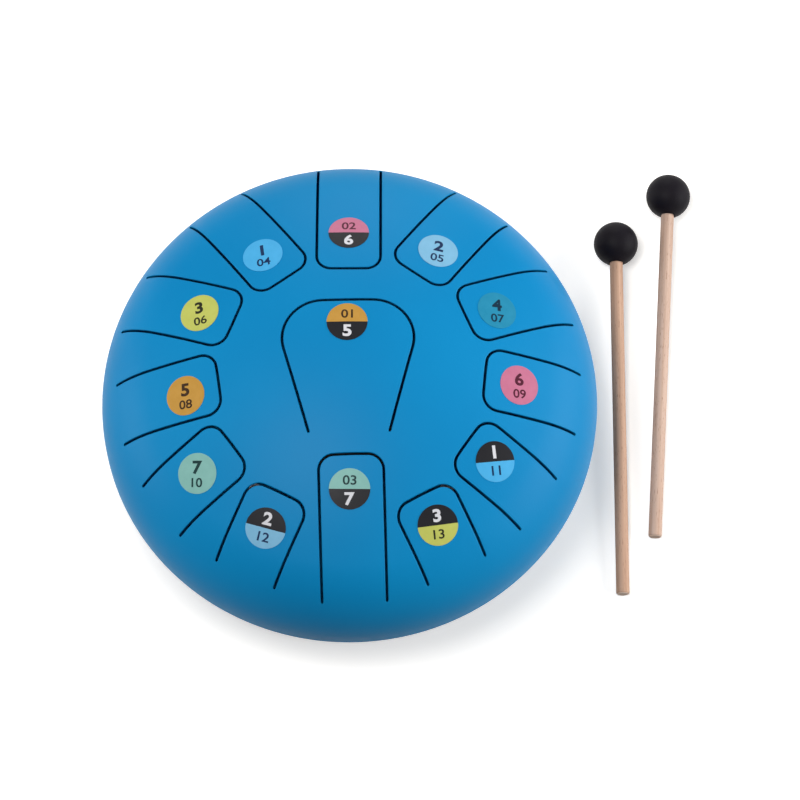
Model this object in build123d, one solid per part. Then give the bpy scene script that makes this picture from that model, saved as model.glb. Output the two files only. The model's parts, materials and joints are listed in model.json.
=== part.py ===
from build123d import *
import math
import os

os.makedirs("parts", exist_ok=True)

# A steel tongue drum with its two mallets. Millimetres, +Z up, the table at z = 0,
# the drum's own axis at x = y = 0, +Y towards the far side and +X towards the mallets.

# Drum body, pressed from sheet steel
drum_diameter = 300.0
sheet_thickness = 1.5
crown_radius = 268.0
top_shoulder_radius = 55.0
upper_skirt_height = 6.0
bowl_radius = 63.0
bowl_overlap = 6.0
bowl_clearance = 0.05
sound_hole_diameter = 52.0
sound_hole_edge_radius = 0.5

# Slits that free the tongues
slit_width = 1.6
root_gap = 0.1
slit_overrun = 1.5

# The ring of tongues: half width, corner and bow belong to the slit's centre line
ring_half_width = 19.05
ring_corner_radius = 9.0
ring_tip_bow = 0.45

# The keystone tongue in the middle, rooted on the near side
middle_note = "01"
middle_root = 43.1
middle_root_half_width = 24.25
middle_taper = 15.4
middle_corner_radius = 23.9
middle_tip = 37.4
middle_label = 22.6

# Tongues by note number, lowest first: direction clockwise from the far side, with the
# second and third cut a little off the line from far to near and two pairs a little uneven
first_pair_angle = 34.55
first_pair_slip = 1.15
second_pair_angle = 67.2
third_pair_angle = 96.6
third_pair_slip = 0.9
fourth_pair_angle = 125.35
fifth_pair_angle = 152.6
near_side_angle = 180.0
cutting_slip = 0.75
tongue_angle = {
    "01": near_side_angle,
    "02": cutting_slip,
    "03": near_side_angle - cutting_slip,
    "04": -first_pair_angle,
    "05": first_pair_angle + first_pair_slip,
    "06": -second_pair_angle,
    "07": second_pair_angle,
    "08": -third_pair_angle - third_pair_slip,
    "09": third_pair_angle,
    "10": -fourth_pair_angle,
    "11": fourth_pair_angle,
    "12": -fifth_pair_angle,
    "13": fifth_pair_angle,
}

# Distance of each tip from the drum's axis, which sets the tongue's length and so its note
tip_radius = {
    "01": -middle_tip,
    "02": 59.5,
    "03": 58.8,
    "04": 65.7,
    "05": 69.9,
    "06": 73.6,
    "07": 76.2,
    "08": 77.8,
    "09": 81.4,
    "10": 84.9,
    "11": 85.3,
    "12": 88.9,
    "13": 91.4,
}

# Distance of each ring tongue's root from the drum's rim: high notes are rooted further in
root_to_rim = {
    "02": 10.5,
    "03": 14.8,
    "04": 11.0,
    "05": 12.0,
    "06": 12.0,
    "07": 13.4,
    "08": 14.3,
    "09": 14.8,
    "10": 15.0,
    "11": 15.8,
    "12": 16.7,
    "13": 17.2,
}

# Centre of each note label: distance along its tongue and offset to the clockwise side
label_radius = {
    "01": -middle_label,
    "02": 85.2,
    "03": 78.3,
    "04": 87.7,
    "05": 91.4,
    "06": 95.4,
    "07": 95.5,
    "08": 97.8,
    "09": 101.6,
    "10": 109.7,
    "11": 104.1,
    "12": 109.6,
    "13": 110.0,
}
label_shift = {
    "01": 0.4,
    "02": 0.0,
    "03": 1.2,
    "04": -0.9,
    "05": 1.4,
    "06": -0.9,
    "07": 2.1,
    "08": -3.3,
    "09": 0.2,
    "10": 0.4,
    "11": -1.1,
    "12": -0.9,
    "13": -0.6,
}

# Vinyl note labels
label_diameter = 24.2
label_thickness = 0.15
label_glue = 0.06

# Rubber feet and their fixings
foot_count = 3
foot_inset = 17.0
foot_height = 10.0
foot_top_diameter = 25.0
foot_bottom_diameter = 21.0
foot_edge_radius = 1.2
foot_recess_diameter = 10.0
foot_recess_depth = 5.0
screw_diameter = 4.0
screw_clearance = 0.2
screw_length = 12.0
screw_head_diameter = 8.0
screw_head_height = 2.6
screw_head_edge_radius = 0.8
drive_slot_width = 1.2
drive_slot_length = 4.6
drive_slot_depth = 1.4
washer_diameter = 9.0
washer_thickness = 0.8
nut_across_flats = 7.0
nut_thickness = 3.2

# Mallets, lying on the table beside the drum
head_diameter = 28.0
head_mouth_chamfer = 0.8
stick_diameter = 8.2
stick_length = 230.0
stick_end_radius = 1.2
socket_depth = {"left": 14.0, "right": 18.0}
head_from_rim = {"left": 19.0, "right": 53.4}
head_y = {"left": 126.9, "right": 159.1}
stick_heading = {"left": -90.8, "right": -94.2}

drum_radius = drum_diameter / 2
base_z = foot_height
bowl_rim_z = base_z + bowl_radius
seam_z = bowl_rim_z - bowl_overlap
shoulder_z = seam_z + upper_skirt_height
shoulder_r = drum_radius - top_shoulder_radius
blend_angle = math.asin(shoulder_r / (crown_radius - top_shoulder_radius))
crown_z = shoulder_z - (crown_radius - top_shoulder_radius) * math.cos(blend_angle)
half_slit = slit_width / 2
far = 2 * drum_diameter
near_enough = sheet_thickness / 15


def crown_point(angle, offset):
    """Point of the domed top in the r, z plane, offset outwards from the painted surface."""
    radius = crown_radius + offset
    return (radius * math.sin(angle), crown_z + radius * math.cos(angle))


def shoulder_point(angle, offset):
    """Point of the rounded shoulder in the r, z plane, offset outwards from the surface."""
    radius = top_shoulder_radius + offset
    return (shoulder_r + radius * math.sin(angle), shoulder_z + radius * math.cos(angle))


def surface_at(r, offset):
    """Slope of the upper shell at distance r from the axis, and the point there."""
    if r <= crown_point(blend_angle, offset)[0]:
        angle = math.asin(r / (crown_radius + offset))
        return angle, crown_point(angle, offset)
    angle = math.asin((r - shoulder_r) / (top_shoulder_radius + offset))
    return angle, shoulder_point(angle, offset)


def cap(inner, outer, skirt):
    """Solid between two offsets of the upper surface, with a straight skirt below the shoulder."""
    right = math.pi / 2
    half_crown = blend_angle / 2
    half_shoulder = (blend_angle + right) / 2
    top, bottom = crown_point(0, outer), crown_point(0, inner)
    skirt_out = (drum_radius + outer, shoulder_z - skirt)
    skirt_in = (drum_radius + inner, shoulder_z - skirt)
    outer_blend, inner_blend = crown_point(blend_angle, outer), crown_point(blend_angle, inner)
    outer_rim, inner_rim = shoulder_point(right, outer), shoulder_point(right, inner)
    edges = [
        ThreePointArc(top, crown_point(half_crown, outer), outer_blend),
        ThreePointArc(outer_blend, shoulder_point(half_shoulder, outer), outer_rim),
        ThreePointArc(inner_rim, shoulder_point(half_shoulder, inner), inner_blend),
        ThreePointArc(inner_blend, crown_point(half_crown, inner), bottom),
        Line(bottom, top),
    ]
    if skirt > 0:
        edges += [Line(outer_rim, skirt_out), Line(skirt_out, skirt_in), Line(skirt_in, inner_rim)]
    else:
        edges += [Line(outer_rim, inner_rim)]
    return revolve(Plane.XZ * make_face(edges), Axis.Z)


def turned(shape, angle):
    """Turn a shape drawn along +X to the tongue angle, clockwise from the far side."""
    return Rot(0, 0, 90 - angle) * shape


def slit_plan(tip, root, root_half, taper, corner, bow):
    """Face inside one slit's centre line, drawn along +X and left long past the root."""
    long_end = root + 4 * slit_width
    slope = math.tan(math.radians(taper))
    tip_half = root_half + (root - tip) * slope
    end_half = root_half - (long_end - root) * slope
    left, right = (tip, tip_half), (tip, -tip_half)
    edges = [
        Line((long_end, end_half), left),
        ThreePointArc(left, (tip - bow, 0), right) if bow else Line(left, right),
        Line(right, (long_end, -end_half)),
        Line((long_end, -end_half), (long_end, end_half)),
    ]
    face = make_face(edges)
    tip_corners = [v for v in face.vertices() if v.X < tip + near_enough]
    return fillet(tip_corners, corner)


def prism(face):
    """Stand a plan face up through the whole drum."""
    return extrude(face, amount=far)


def tip_side(root, shift):
    """Half space on the tip side of the root plane, which stands square to the sheet."""
    angle, (r, z) = surface_at(root, -sheet_thickness / 2)
    r += shift * math.cos(angle)
    z -= shift * math.sin(angle)
    dr, dz = drum_radius * math.sin(angle), drum_radius * math.cos(angle)
    outline = Polyline((r + dr, z + dz), (r - dr, z - dz), (-far, z - dz), (-far, z + dz), close=True)
    return extrude(Plane.XZ * make_face(outline), amount=drum_radius, both=True)


def tongue_and_cut(blank, plan, root, angle):
    """One tongue, and the solid that frees its place in the upper shell."""
    inside = offset(plan, -half_slit)
    outside = offset(plan, half_slit, kind=Kind.INTERSECTION)
    slit = (outside - inside) & Pos(root + slit_overrun - far / 2, 0) * Rectangle(far, far)
    tongue = blank & turned(prism(inside) & tip_side(root, -root_gap / 2), angle)
    place = turned(prism(outside) & tip_side(root, root_gap / 2), angle)
    return tongue, place + turned(prism(slit), angle)


def label(film, angle, along, across):
    """Round piece of the film that lies on one tongue, cut square to the surface."""
    r = math.hypot(along, across)
    slope, (_, z) = surface_at(r, 0)
    heading = 90 - angle - math.degrees(math.atan2(across, along))
    punch = Cylinder(label_diameter / 2, label_diameter / 2)
    return film & Rot(0, 0, heading) * Pos(r, 0, z) * Rot(0, math.degrees(slope), 0) * punch


# Upper shell and tongues, cut from one pressing, and the labels stuck on the tongues
upper_shell = cap(-sheet_thickness, 0, upper_skirt_height)
blank = upper_shell
film = cap(label_glue, label_glue + label_thickness, 0)
for note, angle in tongue_angle.items():
    tip = tip_radius[note]
    if note == middle_note:
        root = middle_root
        plan = slit_plan(tip, root, middle_root_half_width, middle_taper, middle_corner_radius, 0)
    else:
        root = drum_radius - root_to_rim[note]
        plan = slit_plan(tip, root, ring_half_width, 0, ring_corner_radius, ring_tip_bow)
    tongue, cut = tongue_and_cut(blank, plan, root, angle)
    upper_shell -= cut
    export_step(tongue, f"parts/tongue_{note}.step")
    export_step(label(film, angle, label_radius[note], label_shift[note]), f"parts/label_{note}.step")
export_step(upper_shell, "parts/upper_shell.step")


# Lower shell: a bowl with a flat base and the sound hole, its rim up inside the upper skirt
bowl_rim_r = drum_radius - sheet_thickness - bowl_clearance
base_r = bowl_rim_r - bowl_radius
inner_radius = bowl_radius - sheet_thickness
inner_base_z = base_z + sheet_thickness
hole_r = sound_hole_diameter / 2
diagonal = math.sqrt(0.5)
outer_mid = (base_r + bowl_radius * diagonal, bowl_rim_z - bowl_radius * diagonal)
inner_mid = (base_r + inner_radius * diagonal, bowl_rim_z - inner_radius * diagonal)
outer_rim = (bowl_rim_r, bowl_rim_z)
inner_rim = (bowl_rim_r - sheet_thickness, bowl_rim_z)
lower_profile = [
    Line(outer_rim, inner_rim),
    ThreePointArc(inner_rim, inner_mid, (base_r, inner_base_z)),
    Line((base_r, inner_base_z), (hole_r, inner_base_z)),
    Line((hole_r, inner_base_z), (hole_r, base_z)),
    Line((hole_r, base_z), (base_r, base_z)),
    ThreePointArc((base_r, base_z), outer_mid, outer_rim),
]
lower_shell = revolve(Plane.XZ * make_face(lower_profile), Axis.Z)
lower_rings = lower_shell.edges().filter_by(GeomType.CIRCLE)
hole_edges = lower_rings.filter_by(lambda e: e.radius < hole_r + near_enough)
lower_shell = fillet(hole_edges, sound_hole_edge_radius)
foot_places = PolarLocations(base_r - foot_inset, foot_count, start_angle=90)
screw_hole = Cylinder(screw_diameter / 2 + screw_clearance, far)
lower_shell -= foot_places * screw_hole
export_step(lower_shell, "parts/lower_shell.step")

# Rubber foot: tapered, moulded with a deep recess for its screw
foot_bottom = (foot_bottom_diameter / 2, 0)
foot_top = (foot_top_diameter / 2, foot_height)
foot_profile = Polyline((0, 0), foot_bottom, foot_top, (0, foot_height), close=True)
foot = revolve(Plane.XZ * make_face(foot_profile), Axis.Z)
foot = fillet(foot.edges().filter_by(GeomType.CIRCLE).sort_by(Axis.Z)[0], foot_edge_radius)
foot -= Cylinder(foot_recess_diameter / 2, 2 * foot_recess_depth)
foot -= screw_hole

# Pan-head screw with a cross recess, driven from below through foot and base
seat_z = foot_recess_depth
head = Cylinder(screw_head_diameter / 2, screw_head_height)
head = fillet(head.edges().filter_by(GeomType.CIRCLE).sort_by(Axis.Z)[0], screw_head_edge_radius)
head = Pos(0, 0, seat_z - screw_head_height / 2) * head
for quarter in (0, 90):
    slot = Box(drive_slot_length, drive_slot_width, 2 * drive_slot_depth)
    head -= Pos(0, 0, seat_z - screw_head_height) * Rot(0, 0, quarter) * slot
screw = head + Pos(0, 0, seat_z + screw_length / 2) * Cylinder(screw_diameter / 2, screw_length)

# Washer and nut on the inside of the base
washer = Pos(0, 0, inner_base_z + washer_thickness / 2) * Cylinder(washer_diameter / 2, washer_thickness)
washer -= screw_hole
nut_z = inner_base_z + washer_thickness
nut_plan = RegularPolygon(nut_across_flats / 2, 6, major_radius=False) - Circle(screw_diameter / 2)
nut = Pos(0, 0, nut_z) * extrude(nut_plan, amount=nut_thickness)

for name, place in zip(("back", "left", "right"), foot_places):
    export_step(place * foot, f"parts/foot_{name}.step")
export_step(Compound([place * screw for place in foot_places]), "parts/foot_screws.step")
export_step(Compound([place * washer for place in foot_places]), "parts/foot_washers.step")
export_step(Compound([place * nut for place in foot_places]), "parts/foot_nuts.step")


# Mallets: a dowel pushed into a rubber ball, resting on the ball and on the dowel's far end
head_radius = head_diameter / 2
stick_radius = stick_diameter / 2
for side, heading in stick_heading.items():
    socket_floor = math.sqrt(head_radius**2 - stick_radius**2) - socket_depth[side]
    stick = Pos(0, 0, socket_floor + stick_length / 2) * Cylinder(stick_radius, stick_length)
    stick = fillet(stick.edges().filter_by(GeomType.CIRCLE).sort_by(Axis.Z)[-1], stick_end_radius)
    ball = Sphere(head_radius)
    ball -= Pos(0, 0, socket_floor + head_diameter / 2) * Cylinder(stick_radius, head_diameter)
    rings = ball.edges().filter_by(GeomType.CIRCLE)
    mouth = rings.filter_by(lambda e: e.radius < stick_radius + near_enough).sort_by(Axis.Z)[-1]
    ball = chamfer(mouth, head_mouth_chamfer)
    rest_span = socket_floor + stick_length - stick_end_radius
    to_far_end = math.hypot(rest_span, stick_radius)
    tilt = math.asin(head_radius / to_far_end) - math.atan2(stick_radius, rest_span)
    lean = Rot(0, 0, heading) * Rot(0, 90 + math.degrees(tilt), 0)
    place = Pos(drum_radius + head_from_rim[side], head_y[side], head_radius) * lean
    export_step(place * stick, f"parts/mallet_stick_{side}.step")
    export_step(place * ball, f"parts/mallet_head_{side}.step")
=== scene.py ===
import json
import math

import bpy
import numpy as np
from mathutils import Matrix, Vector
from mathutils.geometry import delaunay_2d_cdt
from mathutils.kdtree import KDTree


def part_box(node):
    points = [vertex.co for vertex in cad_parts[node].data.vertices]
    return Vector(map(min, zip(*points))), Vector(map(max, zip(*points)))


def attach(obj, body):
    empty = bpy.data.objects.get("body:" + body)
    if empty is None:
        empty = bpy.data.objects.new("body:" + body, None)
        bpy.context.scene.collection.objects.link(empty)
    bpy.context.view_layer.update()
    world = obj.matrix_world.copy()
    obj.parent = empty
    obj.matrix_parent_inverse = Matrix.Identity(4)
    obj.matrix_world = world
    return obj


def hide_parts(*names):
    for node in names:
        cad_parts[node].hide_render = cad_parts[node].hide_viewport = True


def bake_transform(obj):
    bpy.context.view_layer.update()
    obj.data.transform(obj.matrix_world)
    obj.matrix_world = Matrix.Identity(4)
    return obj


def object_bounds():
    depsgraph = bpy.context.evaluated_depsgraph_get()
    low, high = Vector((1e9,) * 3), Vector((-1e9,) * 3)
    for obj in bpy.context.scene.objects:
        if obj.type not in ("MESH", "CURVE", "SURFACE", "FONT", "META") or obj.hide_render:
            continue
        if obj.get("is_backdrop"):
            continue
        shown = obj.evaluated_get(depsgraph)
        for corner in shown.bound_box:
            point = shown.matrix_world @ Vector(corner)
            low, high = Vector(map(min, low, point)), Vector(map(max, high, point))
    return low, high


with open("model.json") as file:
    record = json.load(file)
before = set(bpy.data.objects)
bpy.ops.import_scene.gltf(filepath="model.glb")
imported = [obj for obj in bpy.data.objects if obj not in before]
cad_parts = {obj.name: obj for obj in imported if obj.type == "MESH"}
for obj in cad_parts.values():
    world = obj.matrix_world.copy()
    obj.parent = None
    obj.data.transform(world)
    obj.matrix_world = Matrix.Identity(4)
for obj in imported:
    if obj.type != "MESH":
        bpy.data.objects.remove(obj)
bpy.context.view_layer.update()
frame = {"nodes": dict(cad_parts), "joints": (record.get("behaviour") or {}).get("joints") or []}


# Lower shell: a flat-bottomed bowl pressed from 1.5 mm sheet steel and powder coated. Its rim
# goes up inside the upper shell's skirt, and the sound hole is punched through the middle
# of the base.
sheet = 0.0015
bowl_low, bowl_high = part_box("lower_shell")
base_z, bowl_rim_z = bowl_low.z, bowl_high.z
bowl_rim_r = bowl_high.x
bowl_radius = bowl_rim_z - base_z
rim_round = 0.0005
sound_hole = 0.026
hole_round = 0.0005
hole_steps = 6
bowl_steps = 40
bowl_end = 359
rim_steps = 4
shell_segments = 192
crease_angle = 0.6
weld_distance = 1e-6
paint_dark = (5, 128, 185)
paint_light = (9, 135, 192)


def tint(red, green, blue):
    """Linear colour of an 8-bit screen colour."""
    return [((part / 255 + 0.055) / 1.055) ** 2.4 for part in (red, green, blue)] + [1.0]


def pick(sockets, name):
    """The socket in use under that name, where a node has several of one name."""
    return next(socket for socket in sockets if socket.name == name and socket.enabled)


def add(tree, kind, links, **settings):
    """New node: each input is linked to a socket or given a plain value."""
    node = tree.nodes.new(kind)
    for name, value in settings.items():
        setattr(node, name, value)
    for name, source in links.items():
        if isinstance(source, bpy.types.NodeSocket):
            tree.links.new(source, pick(node.inputs, name))
        else:
            pick(node.inputs, name).default_value = source
    return node


def new_tree(name, kind, inputs, outputs):
    """Empty node group with named sockets, its input sockets and its output sockets."""
    tree = bpy.data.node_groups.new(name, kind)
    for side, sockets in (("INPUT", inputs), ("OUTPUT", outputs)):
        for socket, socket_kind in sockets.items():
            tree.interface.new_socket(socket, in_out=side, socket_type="NodeSocket" + socket_kind)
    return tree, tree.nodes.new("NodeGroupInput").outputs, tree.nodes.new("NodeGroupOutput").inputs


def reckon(tree, operation, first, second=0.0):
    """Result of one sum in a node tree."""
    node = tree.nodes.new("ShaderNodeMath")
    node.operation = operation
    for socket, source in zip(node.inputs, (first, second)):
        if isinstance(source, bpy.types.NodeSocket):
            tree.links.new(source, socket)
        else:
            socket.default_value = source
    return node.outputs[0]


def surface_grain():
    """Shader group: broad clouds and fine grain over a surface, both from 0 to 1."""
    usual_low, usual_high = 0.3, 0.7
    sizes = {"Vector": "Vector", "Broad Scale": "Float", "Fine Scale": "Float"}
    masks = {"Clouds": "Float", "Grain": "Float"}
    tree, given, result = new_tree("surface_grain", "ShaderNodeTree", sizes, masks)
    for scale, detail, name in (("Broad Scale", 3, "Clouds"), ("Fine Scale", 2, "Grain")):
        pattern = {"Vector": given["Vector"], "Scale": given[scale], "Detail": detail}
        noise = add(tree, "ShaderNodeTexNoise", pattern)
        spread = {"Value": noise.outputs["Fac"], "From Min": usual_low, "From Max": usual_high}
        tree.links.new(add(tree, "ShaderNodeMapRange", spread).outputs["Result"], result[name])
    return tree


grain_group = surface_grain()


def finish(name, dark, light, roughness, relief, scales, specular=0.5, metallic=0.0, place=None):
    """Material whose tone and gloss drift in clouds over a fine relief."""
    material = bpy.data.materials.new(name)
    material.use_nodes = True
    tree = material.node_tree
    shader = tree.nodes["Principled BSDF"]
    shader.inputs["Specular IOR Level"].default_value = specular
    shader.inputs["Metallic"].default_value = metallic
    if place:
        vector = add(tree, "ShaderNodeAttribute", {}, attribute_name=place).outputs["Vector"]
    else:
        vector = add(tree, "ShaderNodeTexCoord", {}).outputs["Object"]
    grain = tree.nodes.new("ShaderNodeGroup")
    grain.node_tree = grain_group
    tree.links.new(vector, grain.inputs["Vector"])
    grain.inputs["Broad Scale"].default_value, grain.inputs["Fine Scale"].default_value = scales
    clouds = grain.outputs["Clouds"]
    tones = {"Factor": clouds, "A": tint(*dark), "B": tint(*light)}
    tone = add(tree, "ShaderNodeMix", tones, data_type="RGBA")
    drift = {"Value": clouds, "To Min": roughness[0], "To Max": roughness[1]}
    gloss = add(tree, "ShaderNodeMapRange", drift)
    height = {"Height": grain.outputs["Grain"], "Strength": relief[0], "Distance": relief[1]}
    bump = add(tree, "ShaderNodeBump", height)
    tree.links.new(pick(tone.outputs, "Result"), shader.inputs["Base Color"])
    tree.links.new(gloss.outputs["Result"], shader.inputs["Roughness"])
    tree.links.new(bump.outputs["Normal"], shader.inputs["Normal"])
    return material


def turned_tree():
    """Geometry tree: turns a section, drawn in x and z, about z, then lays the piece in its place."""
    sizes = {
        "Section": "Geometry", "Points": "Int", "Segments": "Int", "Crease": "Float",
        "Turn": "Vector", "Place": "Vector", "Material": "Material",
    }
    tree, given, result = new_tree("turned_piece", "GeometryNodeTree", sizes, {"Piece": "Geometry"})
    rows = reckon(tree, "ADD", given["Segments"], 1)
    grid_sizes = {"Size X": 1, "Size Y": 1, "Vertices X": given["Points"], "Vertices Y": rows}
    grid = add(tree, "GeometryNodeMeshGrid", grid_sizes)
    here = add(tree, "GeometryNodeInputPosition", {}).outputs[0]
    spot = add(tree, "ShaderNodeSeparateXYZ", {"Vector": here})
    share = reckon(tree, "ADD", spot.outputs["X"], 0.5)
    last = reckon(tree, "SUBTRACT", given["Points"], 1)
    index = reckon(tree, "ROUND", reckon(tree, "MULTIPLY", share, last))
    # Turned clockwise, so that the faces point outwards
    angle = reckon(tree, "MULTIPLY", spot.outputs["Y"], -2 * math.pi)
    place = add(tree, "GeometryNodeInputPosition", {}).outputs[0]
    sample = {"Geometry": given["Section"], "Value": place, "Index": index}
    section = add(tree, "GeometryNodeSampleIndex", sample, data_type="FLOAT_VECTOR")
    point = add(tree, "ShaderNodeSeparateXYZ", {"Vector": section.outputs["Value"]})
    around = {
        "X": reckon(tree, "MULTIPLY", point.outputs["X"], reckon(tree, "COSINE", angle)),
        "Y": reckon(tree, "MULTIPLY", point.outputs["X"], reckon(tree, "SINE", angle)),
        "Z": point.outputs["Z"],
    }
    ring = add(tree, "ShaderNodeCombineXYZ", around)
    to_ring = {"Geometry": grid.outputs["Mesh"], "Position": ring.outputs[0]}
    turned = add(tree, "GeometryNodeSetPosition", to_ring)
    seam = {"Geometry": turned.outputs[0], "Distance": weld_distance}
    closed = add(tree, "GeometryNodeMergeByDistance", seam)
    own = add(tree, "GeometryNodeInputPosition", {}).outputs[0]
    keep = {"Geometry": closed.outputs[0], "Name": "own_place", "Value": own}
    kept = add(tree, "GeometryNodeStoreNamedAttribute", keep, data_type="FLOAT_VECTOR", domain="POINT")
    bend = add(tree, "GeometryNodeInputMeshEdgeAngle", {}).outputs["Unsigned Angle"]
    sharp = {
        "Geometry": kept.outputs[0],
        "Selection": reckon(tree, "GREATER_THAN", bend, given["Crease"]),
        "Shade Smooth": False,
    }
    creased = add(tree, "GeometryNodeSetShadeSmooth", sharp, domain="EDGE")
    turn = add(tree, "FunctionNodeEulerToRotation", {"Euler": given["Turn"]})
    lay = {"Geometry": creased.outputs[0], "Rotation": turn.outputs[0], "Translation": given["Place"]}
    laid = add(tree, "GeometryNodeTransform", lay)
    whole = add(tree, "GeometryNodeRealizeInstances", {"Geometry": laid.outputs[0]})
    coat = {"Geometry": whole.outputs[0], "Material": given["Material"]}
    coated = add(tree, "GeometryNodeSetMaterial", coat)
    tree.links.new(coated.outputs[0], result["Piece"])
    return tree


turned_group = turned_tree()


def bake(name, mesh, tree, inputs):
    """Run a geometry tree once on a mesh and keep the result as a plain object."""
    piece = bpy.data.objects.new(name, mesh)
    bpy.context.scene.collection.objects.link(piece)
    shape = piece.modifiers.new("shape", "NODES")
    shape.node_group = tree
    for socket in tree.interface.items_tree:
        if socket.in_out == "INPUT" and socket.name in inputs:
            shape[socket.identifier] = inputs[socket.name]
    scene_now = bpy.context.evaluated_depsgraph_get()
    seen = piece.evaluated_get(scene_now)
    result = bpy.data.meshes.new_from_object(seen, preserve_all_data_layers=True, depsgraph=scene_now)
    piece.modifiers.clear()
    piece.data = result
    bpy.data.meshes.remove(mesh)
    return piece


def turn_piece(name, section, segments, material, turn=(0, 0, 0), place=(0, 0, 0)):
    """A piece turned from its section, a line of (r, z) points with the piece on its left."""
    line = bpy.data.meshes.new(name)
    line.from_pydata([(r, 0, z) for r, z in section], [], [])
    inputs = {
        "Points": len(section), "Segments": segments, "Crease": crease_angle,
        "Turn": tuple(turn), "Place": tuple(place), "Material": material,
    }
    return bake(name, line, turned_group, inputs)


def arc(centre, radius, start, end, steps):
    """Points (r, z) of an arc, with its angles in degrees from the +r direction."""
    angles = np.radians(np.linspace(start, end, steps + 1))
    return [(centre[0] + radius * math.cos(a), centre[1] + radius * math.sin(a)) for a in angles]


base_r = bowl_rim_r - bowl_radius
base_inside = base_z + sheet
hole_corner = sound_hole + hole_round
base_section = [
    *arc((hole_corner, base_z + hole_round), hole_round, 180, 270, hole_steps),
    (hole_corner + sheet, base_z),
    (base_r - sheet, base_z),
    *arc((base_r, bowl_rim_z), bowl_radius, 270, bowl_end, bowl_steps),
    *arc((bowl_rim_r - rim_round, bowl_rim_z - rim_round), rim_round, 0, 90, rim_steps),
    *arc((bowl_rim_r - sheet + rim_round, bowl_rim_z - rim_round), rim_round, 90, 180, rim_steps),
    *arc((base_r, bowl_rim_z), bowl_radius - sheet, bowl_end, 270, bowl_steps),
    (hole_corner + sheet, base_inside),
    *arc((hole_corner, base_inside - hole_round), hole_round, 90, 180, hole_steps),
    (sound_hole, base_z + hole_round),
]
paint = finish(
    "blue_powder_coat", paint_dark, paint_light, roughness=(0.44, 0.50), relief=(0.10, 0.0002),
    scales=(9.0, 900.0), specular=0.10,
)
base_shell = turn_piece("base_shell", base_section, shell_segments, paint)
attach(base_shell, "drum_body")
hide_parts("lower_shell")


# Feet: three tapered rubber feet, moulded with a deep recess for the screw that holds
# each one to the base.
foot_names = ("foot_back", "foot_left", "foot_right")
foot_top = (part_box("foot_back")[1].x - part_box("foot_back")[0].x) / 2
foot_bottom = 0.0105
foot_height = base_z
foot_round = 0.0012
foot_recess = 0.005
recess_depth = 0.005
recess_round = 0.0004
recess_steps = 4
screw_hole = 0.0022
taper_start = 374
foot_steps = 8
foot_segments = 64
foot_section = [
    *arc((foot_recess + recess_round, recess_round), recess_round, 180, 270, recess_steps),
    *arc((foot_bottom - foot_round, foot_round), foot_round, 270, taper_start, foot_steps),
    (foot_top - recess_round, foot_height - recess_round),
    (foot_top - 2 * recess_round, foot_height),
    (screw_hole, foot_height),
    (screw_hole, recess_depth),
    *arc((foot_recess - recess_round, recess_depth - recess_round), recess_round, 90, 0, recess_steps),
    (foot_recess, recess_round),
]
foot_rubber = finish(
    "foot_rubber", (24, 24, 25), (33, 33, 34), roughness=(0.62, 0.78), relief=(0.25, 0.0002),
    scales=(120.0, 2600.0), specular=0.35,
)


def set_round_tree():
    """Geometry tree: stands copies of a piece on a circle about z."""
    sizes = {
        "Piece": "Geometry", "Count": "Int", "Circle": "Float", "Start": "Vector",
        "Material": "Material",
    }
    tree, given, result = new_tree("set_round", "GeometryNodeTree", sizes, {"Set": "Geometry"})
    circle = add(tree, "GeometryNodeMeshCircle", {"Vertices": given["Count"], "Radius": given["Circle"]})
    start = add(tree, "FunctionNodeEulerToRotation", {"Euler": given["Start"]})
    from_start = {"Geometry": circle.outputs[0], "Rotation": start.outputs[0]}
    places = add(tree, "GeometryNodeTransform", from_start)
    stand = {"Points": places.outputs[0], "Instance": given["Piece"]}
    copies = add(tree, "GeometryNodeInstanceOnPoints", stand)
    whole = add(tree, "GeometryNodeRealizeInstances", {"Geometry": copies.outputs[0]})
    coat = {"Geometry": whole.outputs[0], "Material": given["Material"]}
    coated = add(tree, "GeometryNodeSetMaterial", coat)
    tree.links.new(coated.outputs[0], result["Set"])
    return tree


foot = turn_piece("foot", foot_section, foot_segments, foot_rubber)
foot_mesh = foot.data
bpy.data.objects.remove(foot)
foot_circle = sum(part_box("foot_back"), Vector()).y / 2
set_inputs = {
    "Count": len(foot_names), "Circle": foot_circle, "Start": (0, 0, math.pi / 2),
    "Material": foot_rubber,
}
feet = bake("rubber_feet", foot_mesh, set_round_tree(), set_inputs)
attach(feet, "drum_body")
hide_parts(*foot_names)


# Foot fixings: pan-head screws, plain washers and hexagon nuts of zinc-plated steel.
# Their solids are right as they are and only take the plated finish.
zinc = finish(
    "zinc_plate", (150, 152, 156), (182, 184, 186), roughness=(0.28, 0.42), relief=(0.08, 0.0001),
    scales=(160.0, 3200.0), metallic=1.0,
)
for name in ("foot_screws", "foot_washers", "foot_nuts"):
    fixing = frame["nodes"][name]
    fixing.data.materials.clear()
    fixing.data.materials.append(zinc)


# Upper shell and tongues: one dome pressed from sheet steel, with a narrow slit cut round
# three sides of each tongue so that it rings from its root. Shell and tongues are one sheet,
# so each tongue bends out of the shell at its root.
crown_radius = 0.268
top_shoulder = 0.055
top_skirt = 0.006
half_slit = 0.0008
slit_overrun = 0.0015
edge_round = 0.0004
edge_turns = np.radians((0, 45, 90))
ring_half = 0.01905
ring_corner = 0.009
ring_bow = 0.00045
root_to_rim = {
    "02": 0.0105, "03": 0.0148, "04": 0.0110, "05": 0.0120, "06": 0.0120, "07": 0.0134,
    "08": 0.0143, "09": 0.0148, "10": 0.0150, "11": 0.0158, "12": 0.0167, "13": 0.0172,
}
middle_note = "01"
middle_half = 0.02425
middle_taper = math.radians(15.4)
middle_corner = 0.0239
middle_bow = 0.00001
middle_root = 0.0431
skin_step = 0.0035
row_step = skin_step * math.sqrt(0.75)
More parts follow.
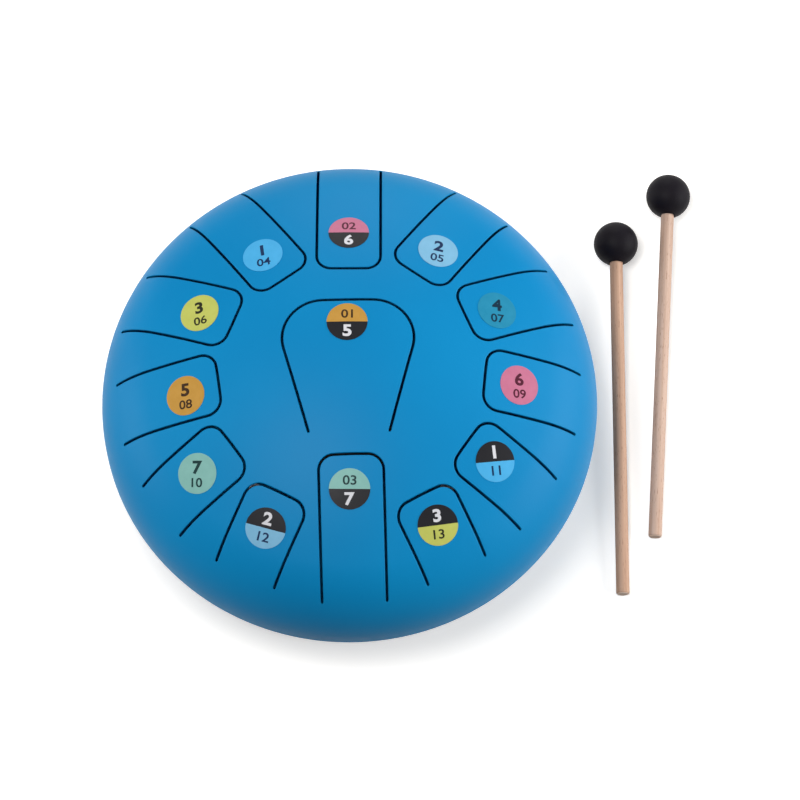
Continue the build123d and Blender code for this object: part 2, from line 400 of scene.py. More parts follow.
line_step = 0.0024
corner_step = math.radians(6)
cap_steps = 6
rim_segments = 320
steep_r = 0.1445
tiny = 1e-9
in_millimetres = 1000
same_point = 1e-4

drum_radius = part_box("upper_shell")[1].x
shoulder_r = drum_radius - top_shoulder
shoulder_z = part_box("upper_shell")[0].z + top_skirt
blend_slope = math.asin(shoulder_r / (crown_radius - top_shoulder))
crown_z = shoulder_z - (crown_radius - top_shoulder) * math.cos(blend_slope)
blend_s = crown_radius * blend_slope
rim_s = blend_s + top_shoulder * (math.pi / 2 - blend_slope)
skirt_s = rim_s + top_skirt


def slope_at(r, inset):
    """Slope of the dome at plan radius r, on the face that lies inset under the paint."""
    on_crown = np.arcsin(np.minimum(r / (crown_radius - inset), 1))
    on_shoulder = np.arcsin(np.clip((r - shoulder_r) / (top_shoulder - inset), 0, 1))
    return np.where(r < (crown_radius - inset) * math.sin(blend_slope), on_crown, on_shoulder)


def section_at(slope, inset):
    """Plan radius and height of the dome where it has that slope, inset under the paint."""
    on_crown = slope < blend_slope
    reach = np.where(on_crown, crown_radius, top_shoulder) - inset
    r = np.where(on_crown, 0, shoulder_r) + reach * np.sin(slope)
    z = np.where(on_crown, crown_z, shoulder_z) + reach * np.cos(slope)
    return np.array([r, z])


def unrolled(plan):
    """Plan points, moved out along their radius to their distance over the dome from its apex."""
    r = np.linalg.norm(plan, axis=1)
    slope = slope_at(r, 0)
    over_shoulder = blend_s + (slope - blend_slope) * top_shoulder
    s = np.where(slope < blend_slope, slope * crown_radius, over_shoulder)
    return plan * (s / np.maximum(r, tiny))[:, None]


def skin(flat, depth):
    """Places and paint normals of unrolled points, from depth 0 on the paint to 1 on the inner face."""
    s = np.linalg.norm(flat, axis=1)
    heading = flat / np.maximum(s, tiny)[:, None]
    slope = np.where(s < blend_s, s / crown_radius, blend_slope + (s - blend_s) / top_shoulder)
    slope = np.minimum(slope, math.pi / 2)
    outer = section_at(slope, 0)
    steep = np.array([steep_r])
    steep_out, steep_in = slope_at(steep, 0)[0], slope_at(steep, sheet)[0]
    rest = (slope - steep_out) / (math.pi / 2 - steep_out)
    beyond = steep_in + (math.pi / 2 - steep_in) * rest
    inner = section_at(np.where(outer[0] < steep_r, slope_at(outer[0], sheet), beyond), sheet)
    r, z = outer + (inner - outer) * depth
    z = z - np.maximum(s - rim_s, 0)
    places = np.column_stack([heading * r[:, None], z])
    normals = np.column_stack([heading * np.sin(slope)[:, None], np.cos(slope)])
    return places, normals


def slit_line(tip, root, root_half, taper, corner, bow):
    """Centre line of a slit, root end to root end, as (along, across) points and outward normals."""
    side = np.array([math.sin(taper), math.cos(taper)])
    end = root + slit_overrun
    reach = side @ (root, root_half)
    tip_half = root_half + (root - tip) * math.tan(taper)
    bow_radius = (tip_half**2 + bow**2) / (2 * bow)
    bow_centre = np.array([tip + bow_radius, 0])
    gradient = math.tan(taper)
    offset = (reach - corner) / math.cos(taper)
    constant = (tip + corner) * (bow_centre[0] + bow_radius - corner) + offset**2
    middle = bow_centre[0] + offset * gradient
    corner_along = constant / (middle + math.sqrt(middle**2 - (1 + gradient**2) * constant))
    corner_centre = np.array([corner_along, offset - gradient * corner_along])
    towards = (corner_centre - bow_centre) / np.linalg.norm(corner_centre - bow_centre)
    corner_angles = (math.atan2(side[1], side[0]), math.atan2(towards[1], towards[0]))
    straight_end = corner_centre + corner * side
    straight_root = np.array([root, root_half])
    straight_start = np.array([end, (reach - side[0] * end) / side[1]])
    steps = math.ceil(np.linalg.norm(straight_end - straight_root) / line_step)
    points = [straight_start, *np.linspace(straight_root, straight_end, steps + 1)]
    normals = [side] * len(points)
    corner_steps = math.ceil((corner_angles[1] - corner_angles[0]) / corner_step)
    for angle in np.linspace(*corner_angles, corner_steps + 1)[1:]:
        normals.append(np.array([math.cos(angle), math.sin(angle)]))
        points.append(corner_centre + corner * normals[-1])
    half_tip = math.ceil(points[-1][1] / line_step)
    for angle in np.linspace(corner_angles[1], math.pi, half_tip + 1)[1:]:
        normals.append(np.array([math.cos(angle), math.sin(angle)]))
        points.append(bow_centre + bow_radius * normals[-1])
    mirror = np.array([1, -1])
    points += [point * mirror for point in reversed(points[:-1])]
    normals += [normal * mirror for normal in reversed(normals[:-1])]
    return np.array(points), np.array(normals)


def slit_loop(points, normals):
    """Closed loop round a slit: the centre that each sample lies off, and the direction it lies in."""
    caps = []
    for end, spin in ((-1, 1), (0, -1)):
        outward = normals[end]
        onward = np.array([outward[1], -outward[0]]) * -spin
        turns = np.linspace(math.pi / 2, -math.pi / 2, cap_steps + 1)[1:-1] * spin
        caps.append([onward * math.cos(t) + outward * math.sin(t) for t in turns])
    bead = np.ones((cap_steps - 1, 1))
    centres = np.concatenate([points, bead * points[-1], points[::-1], bead * points[0]])
    away = np.concatenate([normals, caps[0], -normals[::-1], caps[1]])
    return centres, away


# Rows across a rounded sheet edge: distance back from the cut, depth, and turn of the normal
shares = [(1 - math.sin(turn), 1 - math.cos(turn), turn) for turn in edge_turns]
edge_rows = [(edge_round * back, edge_round * down / sheet, turn) for back, down, turn in shares]
edge_rows += [(back, 1 - depth, math.pi - turn) for back, depth, turn in reversed(edge_rows)]

# Every slit's loop and root seam, in plan
hinges = {joint["child"]: Vector(joint["axis"]) for joint in frame["joints"] if joint["type"] == "hinge"}
slits = {}
for body, axis in hinges.items():
    outward, clockwise = np.array([-axis.y, axis.x]), np.array([axis.x, axis.y])
    corners = np.array([vertex.co.xy for vertex in frame["nodes"][body].data.vertices])
    tip = (corners @ outward).min() - half_slit
    note = body[-2:]
    if note == middle_note:
        root = middle_root
        line = slit_line(tip, root, middle_half, middle_taper, middle_corner, middle_bow)
    else:
        root = drum_radius - root_to_rim[note]
        line = slit_line(tip, root, ring_half, 0, ring_corner, ring_bow)
    centres, away = slit_loop(*line)
    turn = np.array([outward, clockwise])
    first_inner = len(line[0]) + cap_steps - 1
    slits[body] = {
        "centres": centres @ turn, "away": away @ turn, "outward": outward, "root": root,
        "free": (first_inner + 1, first_inner + len(line[0]) - 2),
    }

# Points of the unrolled sheet: slit edges, root seams, the skirt's edge and a fine grid between
flat_points, fixed_edges = [], []


def fix_line(points, closed):
    """Adds a line of points that the triangles have to follow and gives their numbers."""
    start = sum(len(block) for block in flat_points)
    numbers = np.arange(start, start + len(points))
    flat_points.append(points)
    fixed_edges.extend(zip(numbers[:-1].tolist(), numbers[1:].tolist()))
    if closed:
        fixed_edges.append((int(numbers[-1]), int(numbers[0])))
    return numbers


for slit in slits.values():
    cut = slit["centres"] + slit["away"] * (half_slit + edge_round)
    slit["loop"] = fix_line(unrolled(cut), closed=True)
    first, last = slit["free"]
    seam_steps = math.ceil(np.linalg.norm(cut[last] - cut[first]) / skin_step)
    seam = np.linspace(cut[first], cut[last], seam_steps + 1)[1:-1]
    inner = fix_line(unrolled(seam), closed=False)
    slit["seam"] = np.array([slit["loop"][first], *inner, slit["loop"][last]])
    fixed_edges += [(int(slit["loop"][first]), int(inner[0])), (int(inner[-1]), int(slit["loop"][last]))]
rim_angles = np.linspace(0, 2 * math.pi, rim_segments, endpoint=False)
rim_heading = np.column_stack([np.cos(rim_angles), np.sin(rim_angles)])
rim_loop = fix_line(rim_heading * (skirt_s - edge_round), closed=True)

fixed_points = np.concatenate(flat_points)
near_lines = KDTree(len(fixed_points))
for number, point in enumerate(fixed_points):
    near_lines.insert((*point, 0), number)
near_lines.balance()
half_rows = math.ceil(skirt_s / row_step)
grid = []
for row in range(-half_rows, half_rows + 1):
    for column in range(-half_rows, half_rows + 1):
        spot = Vector(((column + row % 2 / 2) * skin_step, row * row_step, 0))
        if spot.length < skirt_s - skin_step / 2 and near_lines.find(spot)[2] > skin_step / 2:
            grid.append(spot.xy)
flat_points.append(np.array(grid))
flat = np.concatenate(flat_points)
scaled = [Vector(point) for point in flat * in_millimetres]
cdt = delaunay_2d_cdt(scaled, fixed_edges, [], 0, same_point)
origin = np.array([numbers[0] for numbers in cdt[3]])
triangles = origin[np.array(cdt[2])]


def inside(points, outline):
    """Which points lie inside a closed outline."""
    found = np.zeros(len(points), bool)
    for a, b in zip(outline, np.roll(outline, -1, axis=0)):
        crosses = (a[1] > points[:, 1]) != (b[1] > points[:, 1])
        if crosses.any():
            at = a[0] + (points[:, 1] - a[1]) * (b[0] - a[0]) / (b[1] - a[1])
            found ^= crosses & (points[:, 0] < at)
    return found


# Sort the triangles into slits, which fall out, tongues and shell
middles = flat[triangles].mean(axis=1)
of_shell = np.ones(len(triangles), bool)
for slit in slits.values():
    in_slit = inside(middles, flat[slit["loop"]])
    first, last = slit["free"]
    blade = np.concatenate([slit["loop"][first:last + 1], slit["seam"][::-1][1:-1]])
    slit["triangles"] = inside(middles, flat[blade]) & ~in_slit
    of_shell &= ~slit["triangles"] & ~in_slit

# Places and normals of every point: the paint side, the inner side, then the rows over the edges
count = len(flat)
top, top_normals = skin(flat, 0)
places, normals = [top, skin(flat, 1)[0]], [top_normals, -top_normals]


def edge_strip(loop, rows_flat, wall_normals):
    """Numbers of the points in each row over a cut edge, from the paint to the inner side."""
    rows = [loop]
    for points, (_, depth, turn) in zip(rows_flat[1:-1], edge_rows[1:-1]):
        row_places, paint_normals = skin(points, depth)
        row_normals = paint_normals * math.cos(turn) + wall_normals * math.sin(turn)
        start = sum(len(block) for block in places)
        places.append(row_places)
        normals.append(row_normals / np.linalg.norm(row_normals, axis=1)[:, None])
        rows.append(np.arange(start, start + len(points)))
    return [*rows, loop + count]


for slit in slits.values():
    cuts = [unrolled(slit["centres"] + slit["away"] * (half_slit + back)) for back, _, _ in edge_rows]
    walls = np.column_stack([-slit["away"], np.zeros(len(slit["away"]))])
    slit["rows"] = edge_strip(slit["loop"], cuts, walls)
downwards = np.tile((0.0, 0.0, -1.0), (rim_segments, 1))
rim_rows = edge_strip(rim_loop, [rim_heading * (skirt_s - back) for back, _, _ in edge_rows], downwards)
places, normals = np.concatenate(places), np.concatenate(normals)


def strip_faces(rows, first, last):
    """Quads between the rows over a cut edge, from sample first to sample last of a closed loop."""
    faces = []
    samples = len(rows[0])
    for upper, lower in zip(rows, rows[1:]):
        for here in range(first, last):
            there = (here + 1) % samples
            faces.append((upper[here % samples], lower[here % samples], lower[there], upper[there]))
    return faces


def root_faces(slit):
    """Faces across the sheet at a tongue's root, from its clockwise end."""
    first, last = slit["free"]
    seam = slit["seam"]
    faces = [(b, a, a + count, b + count) for a, b in zip(seam, seam[1:])]
    faces.append([row[first] for row in slit["rows"]])
    faces.append([row[last] for row in reversed(slit["rows"])])
    return faces


def sheet_piece(name, kept, edge_faces):
    """Piece of the sheet: its triangles on both faces, and the faces along its edges."""
    both = np.concatenate([triangles[kept], triangles[kept][:, ::-1] + count])
    faces = both.tolist() + [[int(number) for number in face] for face in edge_faces]
    used = sorted({number for face in faces for number in face})
    local = {number: index for index, number in enumerate(used)}
    mesh = bpy.data.meshes.new(name)
    mesh.from_pydata(places[used].tolist(), [], [[local[number] for number in face] for face in faces])
    mesh.shade_smooth()
    mesh.normals_split_custom_set_from_vertices(normals[used].tolist())
    mesh.materials.append(paint)
    piece = bpy.data.objects.new(name, mesh)
    bpy.context.scene.collection.objects.link(piece)
    return piece


shell_edges = strip_faces(rim_rows, 0, rim_segments)
for body, slit in slits.items():
    first, last = slit["free"]
    across = root_faces(slit)
    shell_edges += strip_faces(slit["rows"], last, len(slit["loop"]) + first)
    shell_edges += across
    blade = sheet_piece(
        body.replace("tongue", "tongue_blade"), slit["triangles"],
        strip_faces(slit["rows"], first, last) + [face[::-1] for face in across],
    )
    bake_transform(blade)
    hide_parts(body)
top_shell = sheet_piece("top_shell", of_shell, shell_edges)
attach(top_shell, "drum_body")
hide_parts("upper_shell")


# Note labels: round labels punched from printed vinyl film, stuck on near each tongue's tip.
# The lowest three are black below, the highest three black above, and the printing is
# plain figures: a large one for the step of the scale over the note's own number.
label_radius = 0.0121
label_segments = 96
label_rings = 8
film_thickness = 0.00015
glue = 0.00006
ink_thickness = 0.00004
ink_sunk = 0.00001
large_weight = 0.035
small_weight = 0.018
figure_stretch = 1.12
figure_steps = 8
ink_splits = 2
film_specular = 0.12
print_drift = 3
film_black = (29, 29, 33)
ink_white = (214, 214, 219)
film_tints = {
    "orange": ((191, 144, 66), (58, 40, 24)),
    "pink": ((192, 112, 140), (78, 24, 44)),
    "mint": ((131, 182, 174), (22, 52, 52)),
    "light_blue": ((74, 170, 222), (16, 44, 82)),
    "pale_blue": ((124, 180, 212), (20, 42, 78)),
    "yellow": ((189, 193, 97), (40, 40, 26)),
    "teal": ((38, 134, 168), (12, 42, 62)),
}
# Place and height of the large and the small figure, in label radii, and which half is black
layouts = {
    "low": ((-0.48, 0.64), (0.43, 0.47), "lower"),
    "middle": ((0.29, 0.66), (-0.45, 0.46), None),
    "high": ((0.47, 0.64), (-0.44, 0.47), "upper"),
}
# Note number, large figure, layout, film and the turn of its line of print in degrees
note_labels = [
    ("01", "5", "low", "orange", -0.5),
    ("02", "6", "low", "pink", -0.9),
    ("03", "7", "low", "mint", -1.2),
    ("04", "1", "middle", "light_blue", 6.9),
    ("05", "2", "middle", "pale_blue", -8.8),
    ("06", "3", "middle", "yellow", 6.2),
    ("07", "4", "middle", "teal", 1.6),
    ("08", "5", "middle", "orange", 2.2),
    ("09", "6", "middle", "pink", 0.2),
    ("10", "7", "middle", "mint", -2.1),
    ("11", "1", "high", "light_blue", 5.7),
    ("12", "2", "high", "pale_blue", -16.1),
    ("13", "3", "high", "yellow", 6.2),
]


def figure(text, height, weight):
    """Figures as a thin closed layer of ink, centred on the origin."""
    line = bpy.data.curves.new("figure", "FONT")
    line.body = text
    line.offset = weight
    # Half a unit each way, so that the scale below is the ink's thickness
    line.extrude = 0.5
    line.resolution_u = figure_steps
    drawn = bpy.data.objects.new("figure", line)
    bpy.context.scene.collection.objects.link(drawn)
    scene_now = bpy.context.evaluated_depsgraph_get()
    mesh = bpy.data.meshes.new_from_object(drawn.evaluated_get(scene_now))
    bpy.data.objects.remove(drawn)
    corners = np.array([vertex.co for vertex in mesh.vertices])
    low, high = corners.min(axis=0), corners.max(axis=0)
    scale = height / (high[1] - low[1])
    size = Matrix.Diagonal((scale * figure_stretch, scale, ink_thickness, 1))
    mesh.transform(size @ Matrix.Translation(-Vector((low + high) / 2)))
    print_object = bpy.data.objects.new("print", mesh)
    bpy.context.scene.collection.objects.link(print_object)
    return print_object


def label_tree():
    """Geometry tree: a disc of film with two lines of print, bent to the dome and laid in its place."""
    sizes = {
        "Blank": "Geometry", "Radius": "Float", "Film": "Float", "Glue": "Float", "Dome": "Float",
        "Large": "Object", "Small": "Object", "Large Place": "Vector", "Small Place": "Vector",
        "Turn": "Vector", "Place": "Vector",
        "Film Material": "Material", "Large Ink": "Material", "Small Ink": "Material",
    }
    tree, given, result = new_tree("note_label", "GeometryNodeTree", sizes, {"Label": "Geometry"})
    disc_sizes = {
        "Vertices": label_segments, "Side Segments": 1, "Fill Segments": label_rings,
        "Radius": given["Radius"], "Depth": given["Film"],
    }
    disc = add(tree, "GeometryNodeMeshCylinder", disc_sizes, fill_type="TRIANGLE_FAN")
    lift = reckon(tree, "ADD", reckon(tree, "MULTIPLY", given["Film"], 0.5), given["Glue"])
    up = add(tree, "ShaderNodeCombineXYZ", {"Z": lift})
    on_glue = {"Geometry": disc.outputs["Mesh"], "Translation": up.outputs[0]}
    raised = add(tree, "GeometryNodeTransform", on_glue)
    drawn = add(tree, "GeometryNodeInputPosition", {}).outputs[0]
    keep = {"Geometry": raised.outputs[0], "Name": "print_place", "Value": drawn}
    film = add(tree, "GeometryNodeStoreNamedAttribute", keep, data_type="FLOAT_VECTOR", domain="POINT")
    coated = {"Geometry": film.outputs[0], "Material": given["Film Material"]}
    layers = [add(tree, "GeometryNodeSetMaterial", coated).outputs[0]]
    for size in ("Large", "Small"):
        ink = add(tree, "GeometryNodeObjectInfo", {"Object": given[size]})
        split = {"Mesh": ink.outputs["Geometry"], "Level": ink_splits}
        fine = add(tree, "GeometryNodeSubdivideMesh", split)
        weld = {"Geometry": fine.outputs[0], "Distance": weld_distance}
        whole = add(tree, "GeometryNodeMergeByDistance", weld)
        put = {"Geometry": whole.outputs[0], "Translation": given[size + " Place"]}
        in_place = add(tree, "GeometryNodeTransform", put)
        inked = {"Geometry": in_place.outputs[0], "Material": given[size + " Ink"]}
        layers.append(add(tree, "GeometryNodeSetMaterial", inked).outputs[0])
    joined = tree.nodes.new("GeometryNodeJoinGeometry")
    for layer in reversed(layers):
        tree.links.new(layer, joined.inputs[0])
    here = add(tree, "GeometryNodeInputPosition", {}).outputs[0]
    spot = add(tree, "ShaderNodeSeparateXYZ", {"Vector": here})
    level = {"X": spot.outputs["X"], "Y": spot.outputs["Y"], "Z": given["Dome"]}
    ray = add(tree, "ShaderNodeCombineXYZ", level).outputs[0]
    unit = add(tree, "ShaderNodeVectorMath", {"Vector": ray}, operation="NORMALIZE").outputs["Vector"]
    reach = reckon(tree, "ADD", given["Dome"], spot.outputs["Z"])
    to_dome = {"Vector": unit, "Scale": reach}
    bent = add(tree, "ShaderNodeVectorMath", to_dome, operation="SCALE").outputs["Vector"]
    on_dome = add(tree, "GeometryNodeSetPosition", {"Geometry": joined.outputs[0], "Position": bent})
    bend = add(tree, "GeometryNodeInputMeshEdgeAngle", {}).outputs["Unsigned Angle"]
    sharp = {
        "Geometry": on_dome.outputs[0],
        "Selection": reckon(tree, "GREATER_THAN", bend, crease_angle),
        "Shade Smooth": False,
    }
    creased = add(tree, "GeometryNodeSetShadeSmooth", sharp, domain="EDGE")
    turn = add(tree, "FunctionNodeEulerToRotation", {"Euler": given["Turn"]})
    lay = {"Geometry": creased.outputs[0], "Rotation": turn.outputs[0], "Translation": given["Place"]}
    laid = add(tree, "GeometryNodeTransform", lay)
    stuck = add(tree, "GeometryNodeRealizeInstances", {"Geometry": laid.outputs[0]})
    tree.links.new(stuck.outputs[0], result["Label"])
    return tree


def printed(name, colour, roughness, relief, scales, place=None):
    """Printed colour, a little uneven in tone."""
    dark, light = ([part + drift for part in colour] for drift in (-print_drift, print_drift))
    return finish(name, dark, light, roughness, relief, scales, specular=film_specular, place=place)


def printed_film(name, colour, black_half):
    """Vinyl film printed in one colour, with the half above or below its middle line black or not."""
    material = printed(
        name, colour, roughness=(0.34, 0.42), relief=(0.06, 0.0001), scales=(180.0, 2400.0),
        place="print_place",
    )
    if black_half:
        tree = material.node_tree
        base = tree.nodes["Principled BSDF"].inputs["Base Color"]
        drawn = add(tree, "ShaderNodeAttribute", {}, attribute_name="print_place").outputs["Vector"]
        spot = add(tree, "ShaderNodeSeparateXYZ", {"Vector": drawn})
        above = reckon(tree, "GREATER_THAN", spot.outputs["Y"], 0.0)
        lower, upper = tint(*film_black), base.links[0].from_socket
        if black_half == "upper":
            lower, upper = upper, lower
        halves = add(tree, "ShaderNodeMix", {"Factor": above, "A": lower, "B": upper}, data_type="RGBA")
        tree.links.new(pick(halves.outputs, "Result"), base)
    return material


def printing_ink(name, colour):
    """Printed ink, laid thicker than the film's own print."""
    return printed(name, colour, roughness=(0.36, 0.46), relief=(0.05, 0.0001), scales=(400.0, 2400.0))


label_group = label_tree()
dome_centre = Vector((0, 0, crown_z))
white_ink = printing_ink("white_ink", ink_white)
inks = {film: printing_ink(film + "_ink", dark) for film, (_, dark) in film_tints.items()}
for note, step, layout, film, turn in note_labels:
    (large_y, large_height), (small_y, small_height), black_half = layouts[layout]
    centre = sum(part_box("label_" + note), Vector()) / 2
    normal = (centre - dome_centre).normalized()
    baseline = Vector((math.cos(math.radians(turn)), math.sin(math.radians(turn)), 0))
    baseline = (baseline - normal * baseline.dot(normal)).normalized()
    lie = Matrix((baseline, normal.cross(baseline), normal)).transposed()
    ink_z = glue + film_thickness + ink_thickness / 2 - ink_sunk
    large = figure(step, large_height * label_radius, large_weight)
    small = figure(note, small_height * label_radius, small_weight)
    label_inputs = {
        "Radius": label_radius, "Film": film_thickness, "Glue": glue, "Dome": crown_radius,
        "Large": large, "Small": small,
        "Large Place": (0, large_y * label_radius, ink_z),
        "Small Place": (0, small_y * label_radius, ink_z),
        "Turn": tuple(lie.to_euler()), "Place": tuple(dome_centre),
        "Film Material": printed_film("film_" + note, film_tints[film][0], black_half),
        "Large Ink": white_ink if black_half else inks[film], "Small Ink": inks[film],
    }
    label = bake("note_label_" + note, bpy.data.meshes.new("blank"), label_group, label_inputs)
    for drawn in (large, small):
        bpy.data.objects.remove(drawn)
    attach(label, "tongue_" + note)
    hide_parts("label_" + note)


# Mallet sticks: plain beech dowels, sanded and left bare, with the free end rounded over.
# The other end is pushed into the ball.
stick_radius = 0.0041
stick_length = 0.230
stick_round = 0.0012
stick_steps = 6
stick_segments = 48
socket_depths = {"left": 0.014, "right": 0.018}
head_radius = (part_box("mallet_head_left")[1].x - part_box("mallet_head_left")[0].x) / 2
stick_headings = {"left": math.radians(-90.8), "right": math.radians(-94.2)}
# Tones of the two sticks carry painted light: the left stick, in the drum's shade, is painted darker
# than the right one, which is nearer the right-hand lamp
beech_tones_painted_light = {
    "left": ((177, 138, 113), (206, 169, 144)),
    "right": ((187, 152, 131), (214, 186, 168)),
}
band_scale = (420.0, 420.0, 9.0)
fleck_scale = (1900.0, 1900.0, 240.0)
fleck_start, fleck_full, fleck_depth = 0.78, 1.0, 0.6
fleck_brown = (140, 101, 78)
# Sawn end painted paler to lift its shade: painted light
painted_light_end = (236, 208, 188)
end_cut = 0.0004


def beech_finish(name, dark, light, end):
    """Bare beech: soft bands along the dowel and short darker flecks, with the sawn end painted paler,
    painted light on a face in shade.
    """
    material = finish(
        name, dark, light, roughness=(0.55, 0.68), relief=(0.2, 0.0001),
        scales=(1.0, 1.0), specular=0.3, place="own_place",
    )
    tree = material.node_tree
    shader = tree.nodes["Principled BSDF"]
    grain = next(node for node in tree.nodes if node.type == "GROUP")
    own = next(node for node in tree.nodes if node.type == "ATTRIBUTE").outputs["Vector"]
    bands = add(tree, "ShaderNodeMapping", {"Vector": own, "Scale": band_scale})
    tree.links.new(bands.outputs[0], grain.inputs["Vector"])
    ticks = add(tree, "ShaderNodeMapping", {"Vector": own, "Scale": fleck_scale})
    flecks = tree.nodes.new("ShaderNodeGroup")
    flecks.node_tree = grain_group
    tree.links.new(ticks.outputs[0], flecks.inputs["Vector"])
    flecks.inputs["Broad Scale"].default_value = 1.0
    flecks.inputs["Fine Scale"].default_value = 1.0
    rare = {
        "Value": flecks.outputs["Grain"], "From Min": fleck_start, "From Max": fleck_full,
        "To Max": fleck_depth,
    }
    amount = add(tree, "ShaderNodeMapRange", rare).outputs["Result"]
    along = add(tree, "ShaderNodeSeparateXYZ", {"Vector": own}).outputs["Z"]
    # Painted light: the last stretch of the stick, its sawn end, is painted pale
    painted_light_end_mask = reckon(tree, "GREATER_THAN", along, end - end_cut)
    base = shader.inputs["Base Color"]
    for mask, tone in ((amount, fleck_brown), (painted_light_end_mask, painted_light_end)):
        layers = {"Factor": mask, "A": base.links[0].from_socket, "B": tint(*tone)}
        laid = add(tree, "ShaderNodeMix", layers, data_type="RGBA")
        tree.links.new(pick(laid.outputs, "Result"), base)
    return material


mallets = {}
for side, heading in stick_headings.items():
    socket_floor = math.sqrt(head_radius**2 - stick_radius**2) - socket_depths[side]
    stick_end = socket_floor + stick_length
    stick_section = [
        (0, socket_floor),
        (stick_radius, socket_floor),
        (stick_radius, stick_end - 2 * stick_round),
        *arc((stick_radius - stick_round, stick_end - stick_round), stick_round, 0, 90, stick_steps),
        (0, stick_end),
    ]
    rest_span = stick_end - stick_round
    to_far_end = math.hypot(rest_span, stick_radius)
    tilt = math.asin(head_radius / to_far_end) - math.atan2(stick_radius, rest_span)
    low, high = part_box("mallet_head_" + side)
    centre = Vector(((low.x + high.x) / 2, high.y - head_radius, head_radius))
    lean = Matrix.Rotation(heading, 3, "Z") @ Matrix.Rotation(math.pi / 2 + tilt, 3, "Y")
    mallets[side] = (lean.to_euler(), centre, socket_floor)
    beech = beech_finish("beech_" + side, *beech_tones_painted_light[side], stick_end)
    stick = turn_piece(
        "beech_stick_" + side, stick_section, stick_segments, beech, lean.to_euler(), centre,
    )
    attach(stick, "mallet_" + side)
    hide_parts("mallet_stick_" + side)


# Mallet heads: solid rubber balls moulded in two halves, with a fine line where the halves
# of the mould met and a bevelled socket for the stick.
mould_line = 0.00004
mould_line_width = 0.0003
socket_fit = 0.00002
mouth_bevel = 0.0008
ball_steps = 150
ball_segments = 96
ball_radius = head_radius - mould_line
mouth_angle = math.degrees(math.acos((stick_radius + mouth_bevel) / ball_radius))
ball_line = []
for r, z in arc((0, 0), ball_radius, -90, mouth_angle, ball_steps):
    swell = 1 + mould_line / ball_radius * math.exp(-((z / mould_line_width) ** 2))
    ball_line.append((r * swell, z * swell))
mouth_z = ball_radius * math.sin(math.radians(mouth_angle))
head_rubber = finish(
    "head_rubber", (8, 4, 11), (13, 9, 17), roughness=(0.50, 0.62), relief=(0.22, 0.0002),
    scales=(90.0, 1500.0), specular=0.10, place="own_place",
)
for side, (turn, centre, socket_floor) in mallets.items():
    ball_section = [
        *ball_line,
        (stick_radius + socket_fit, mouth_z - mouth_bevel / 2),
        (stick_radius + socket_fit, socket_floor),
        (0, socket_floor),
    ]
    head = turn_piece("rubber_head_" + side, ball_section, ball_segments, head_rubber, turn, centre)
    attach(head, "mallet_" + side)
    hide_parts("mallet_head_" + side)


# Studio: a plain white floor under soft boxes, one overhead and one at each side and behind.
# The floor shows white to the camera and keeps the soft shadows; under the drum it is a painted shadow,
# shown dark grey. From below it isn't seen.
floor_half = 6.0
floor_white = (1.0, 0.97, 0.93, 1.0)
floor_bounce = (0.15, 0.15, 0.15, 1.0)
floor_glow = 0.37
sky_level = 0.06
# Painted shadow under the drum: out to shade_start from its axis the camera sees the dark bounce grey,
# and by shade_end the white floor
shade_start, shade_end = 0.06, 0.13
white_start, white_end = 0.45, 1.10
# Name, place, width and power of each soft box
lamps = [
    ("overhead", (-0.39, -0.25, 1.93), 0.75, 21.5),
    ("left_box", (-1.75, 0.20, 0.48), 1.0, 15.5),
    ("right_box", (1.82, 0.02, 0.48), 1.7, 46.0),
    ("back_box", (0.10, 1.90, 0.90), 1.0, 13.0),
]
aim = Vector((0, 0, 0.08))
floor_mesh = bpy.data.meshes.new("floor")
floor_corners = [(x, y, 0) for x, y in ((-1, -1), (1, -1), (1, 1), (-1, 1))]
floor_mesh.from_pydata([Vector(corner) * floor_half for corner in floor_corners], [], [(0, 1, 2, 3)])
floor = bpy.data.objects.new("floor", floor_mesh)
bpy.context.scene.collection.objects.link(floor)
floor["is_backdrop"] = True


def seen_directly(tree):
    """1 for rays that show the surface to the camera, straight or in a reflection."""
    path = add(tree, "ShaderNodeLightPath", {}).outputs
    shown = reckon(tree, "MAXIMUM", path["Is Camera Ray"], path["Is Glossy Ray"])
    return reckon(tree, "MAXIMUM", shown, path["Is Transmission Ray"])


floor_finish = bpy.data.materials.new("white_floor")
floor_finish.use_nodes = True
tree = floor_finish.node_tree
tree.nodes.remove(tree.nodes["Principled BSDF"])
spot = add(tree, "ShaderNodeTexCoord", {}).outputs["Object"]
out = add(tree, "ShaderNodeVectorMath", {"Vector": spot}, operation="LENGTH").outputs["Value"]
# Painted shadow: near the drum's axis the camera sees the dark bounce grey with no glow, in place of the
# white floor
clear = {"Value": out, "From Min": shade_start, "From Max": shade_end}
outside_painted_shadow = add(tree, "ShaderNodeMapRange", clear).outputs["Result"]
shown = reckon(tree, "MULTIPLY", seen_directly(tree), outside_painted_shadow)
paper = {"Factor": shown, "A": floor_bounce, "B": floor_white}
white = pick(add(tree, "ShaderNodeMix", paper, data_type="RGBA").outputs, "Result")
matt = add(tree, "ShaderNodeBsdfDiffuse", {"Color": white})
fading = {
    "Value": out, "From Min": white_start, "From Max": white_end,
    "To Min": floor_glow, "To Max": 1.0,
}
whiteness = add(tree, "ShaderNodeMapRange", fading).outputs["Result"]
strength = reckon(tree, "MULTIPLY", shown, whiteness)
glow = add(tree, "ShaderNodeEmission", {"Color": (1, 1, 1, 1), "Strength": strength})
lit = tree.nodes.new("ShaderNodeAddShader")
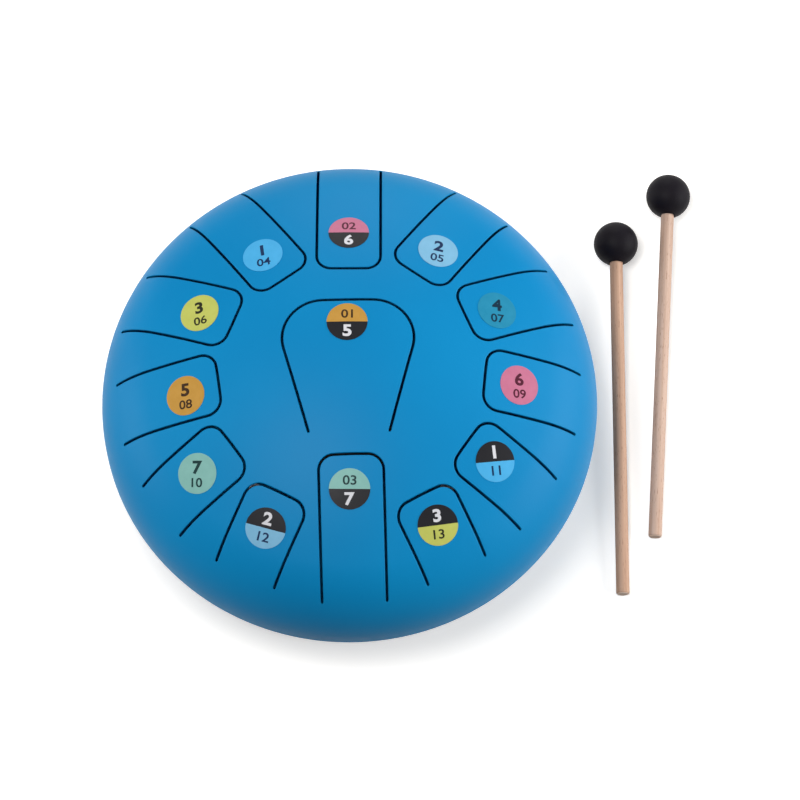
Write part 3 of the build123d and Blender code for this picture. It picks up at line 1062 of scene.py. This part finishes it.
from_below = add(tree, "ShaderNodeNewGeometry", {}).outputs["Backfacing"]
nothing = add(tree, "ShaderNodeBsdfTransparent", {})
surface = add(tree, "ShaderNodeMixShader", {"Fac": from_below})
for layers, sockets in (((matt, glow), lit.inputs), ((lit, nothing), surface.inputs[1:])):
    for layer, socket in zip(layers, sockets):
        tree.links.new(layer.outputs[0], socket)
tree.links.new(surface.outputs[0], tree.nodes["Material Output"].inputs["Surface"])
floor_mesh.materials.append(floor_finish)

sky = bpy.data.worlds.new("studio")
sky.use_nodes = True
bpy.context.scene.world = sky
tree = sky.node_tree
level = {"Value": seen_directly(tree), "To Min": sky_level, "To Max": 1.0}
strength = add(tree, "ShaderNodeMapRange", level).outputs["Result"]
tree.links.new(strength, tree.nodes["Background"].inputs["Strength"])
tree.nodes["Background"].inputs["Color"].default_value = (1, 1, 1, 1)

for name, spot, size, power in lamps:
    lamp = bpy.data.lights.new(name, "AREA")
    lamp.size = size
    lamp.energy = power
    box = bpy.data.objects.new(name, lamp)
    box.location = spot
    box.rotation_euler = (aim - Vector(spot)).to_track_quat("-Z", "Y").to_euler()
    box.visible_camera = False
    bpy.context.scene.collection.objects.link(box)


# Camera: high in front of the drum, with a long lens, as in the photograph.
# Its place, tilt and lens are those of a camera fitted to the photograph.
camera_place = Vector((0.01759, -0.82935, 2.27651))
camera_rise = math.radians(69.3404)
camera_swing = math.radians(-0.8915)
camera_lens = 174.67
camera_reach = 50
back = Vector((
    math.sin(camera_swing) * math.cos(camera_rise),
    -math.cos(camera_swing) * math.cos(camera_rise),
    math.sin(camera_rise),
))
right = Vector((math.cos(camera_swing), math.sin(camera_swing), 0))
up = back.cross(right)
camera = bpy.data.objects.new("camera", bpy.data.cameras.new("camera"))
bpy.context.scene.collection.objects.link(camera)
camera.data.lens = camera_lens
camera.data.clip_end = camera_reach
camera.matrix_world = Matrix.Translation(camera_place) @ Matrix((right, up, back)).transposed().to_4x4()
bpy.context.scene.camera = camera
bpy.context.scene.view_settings.view_transform = "Standard"

low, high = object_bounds()
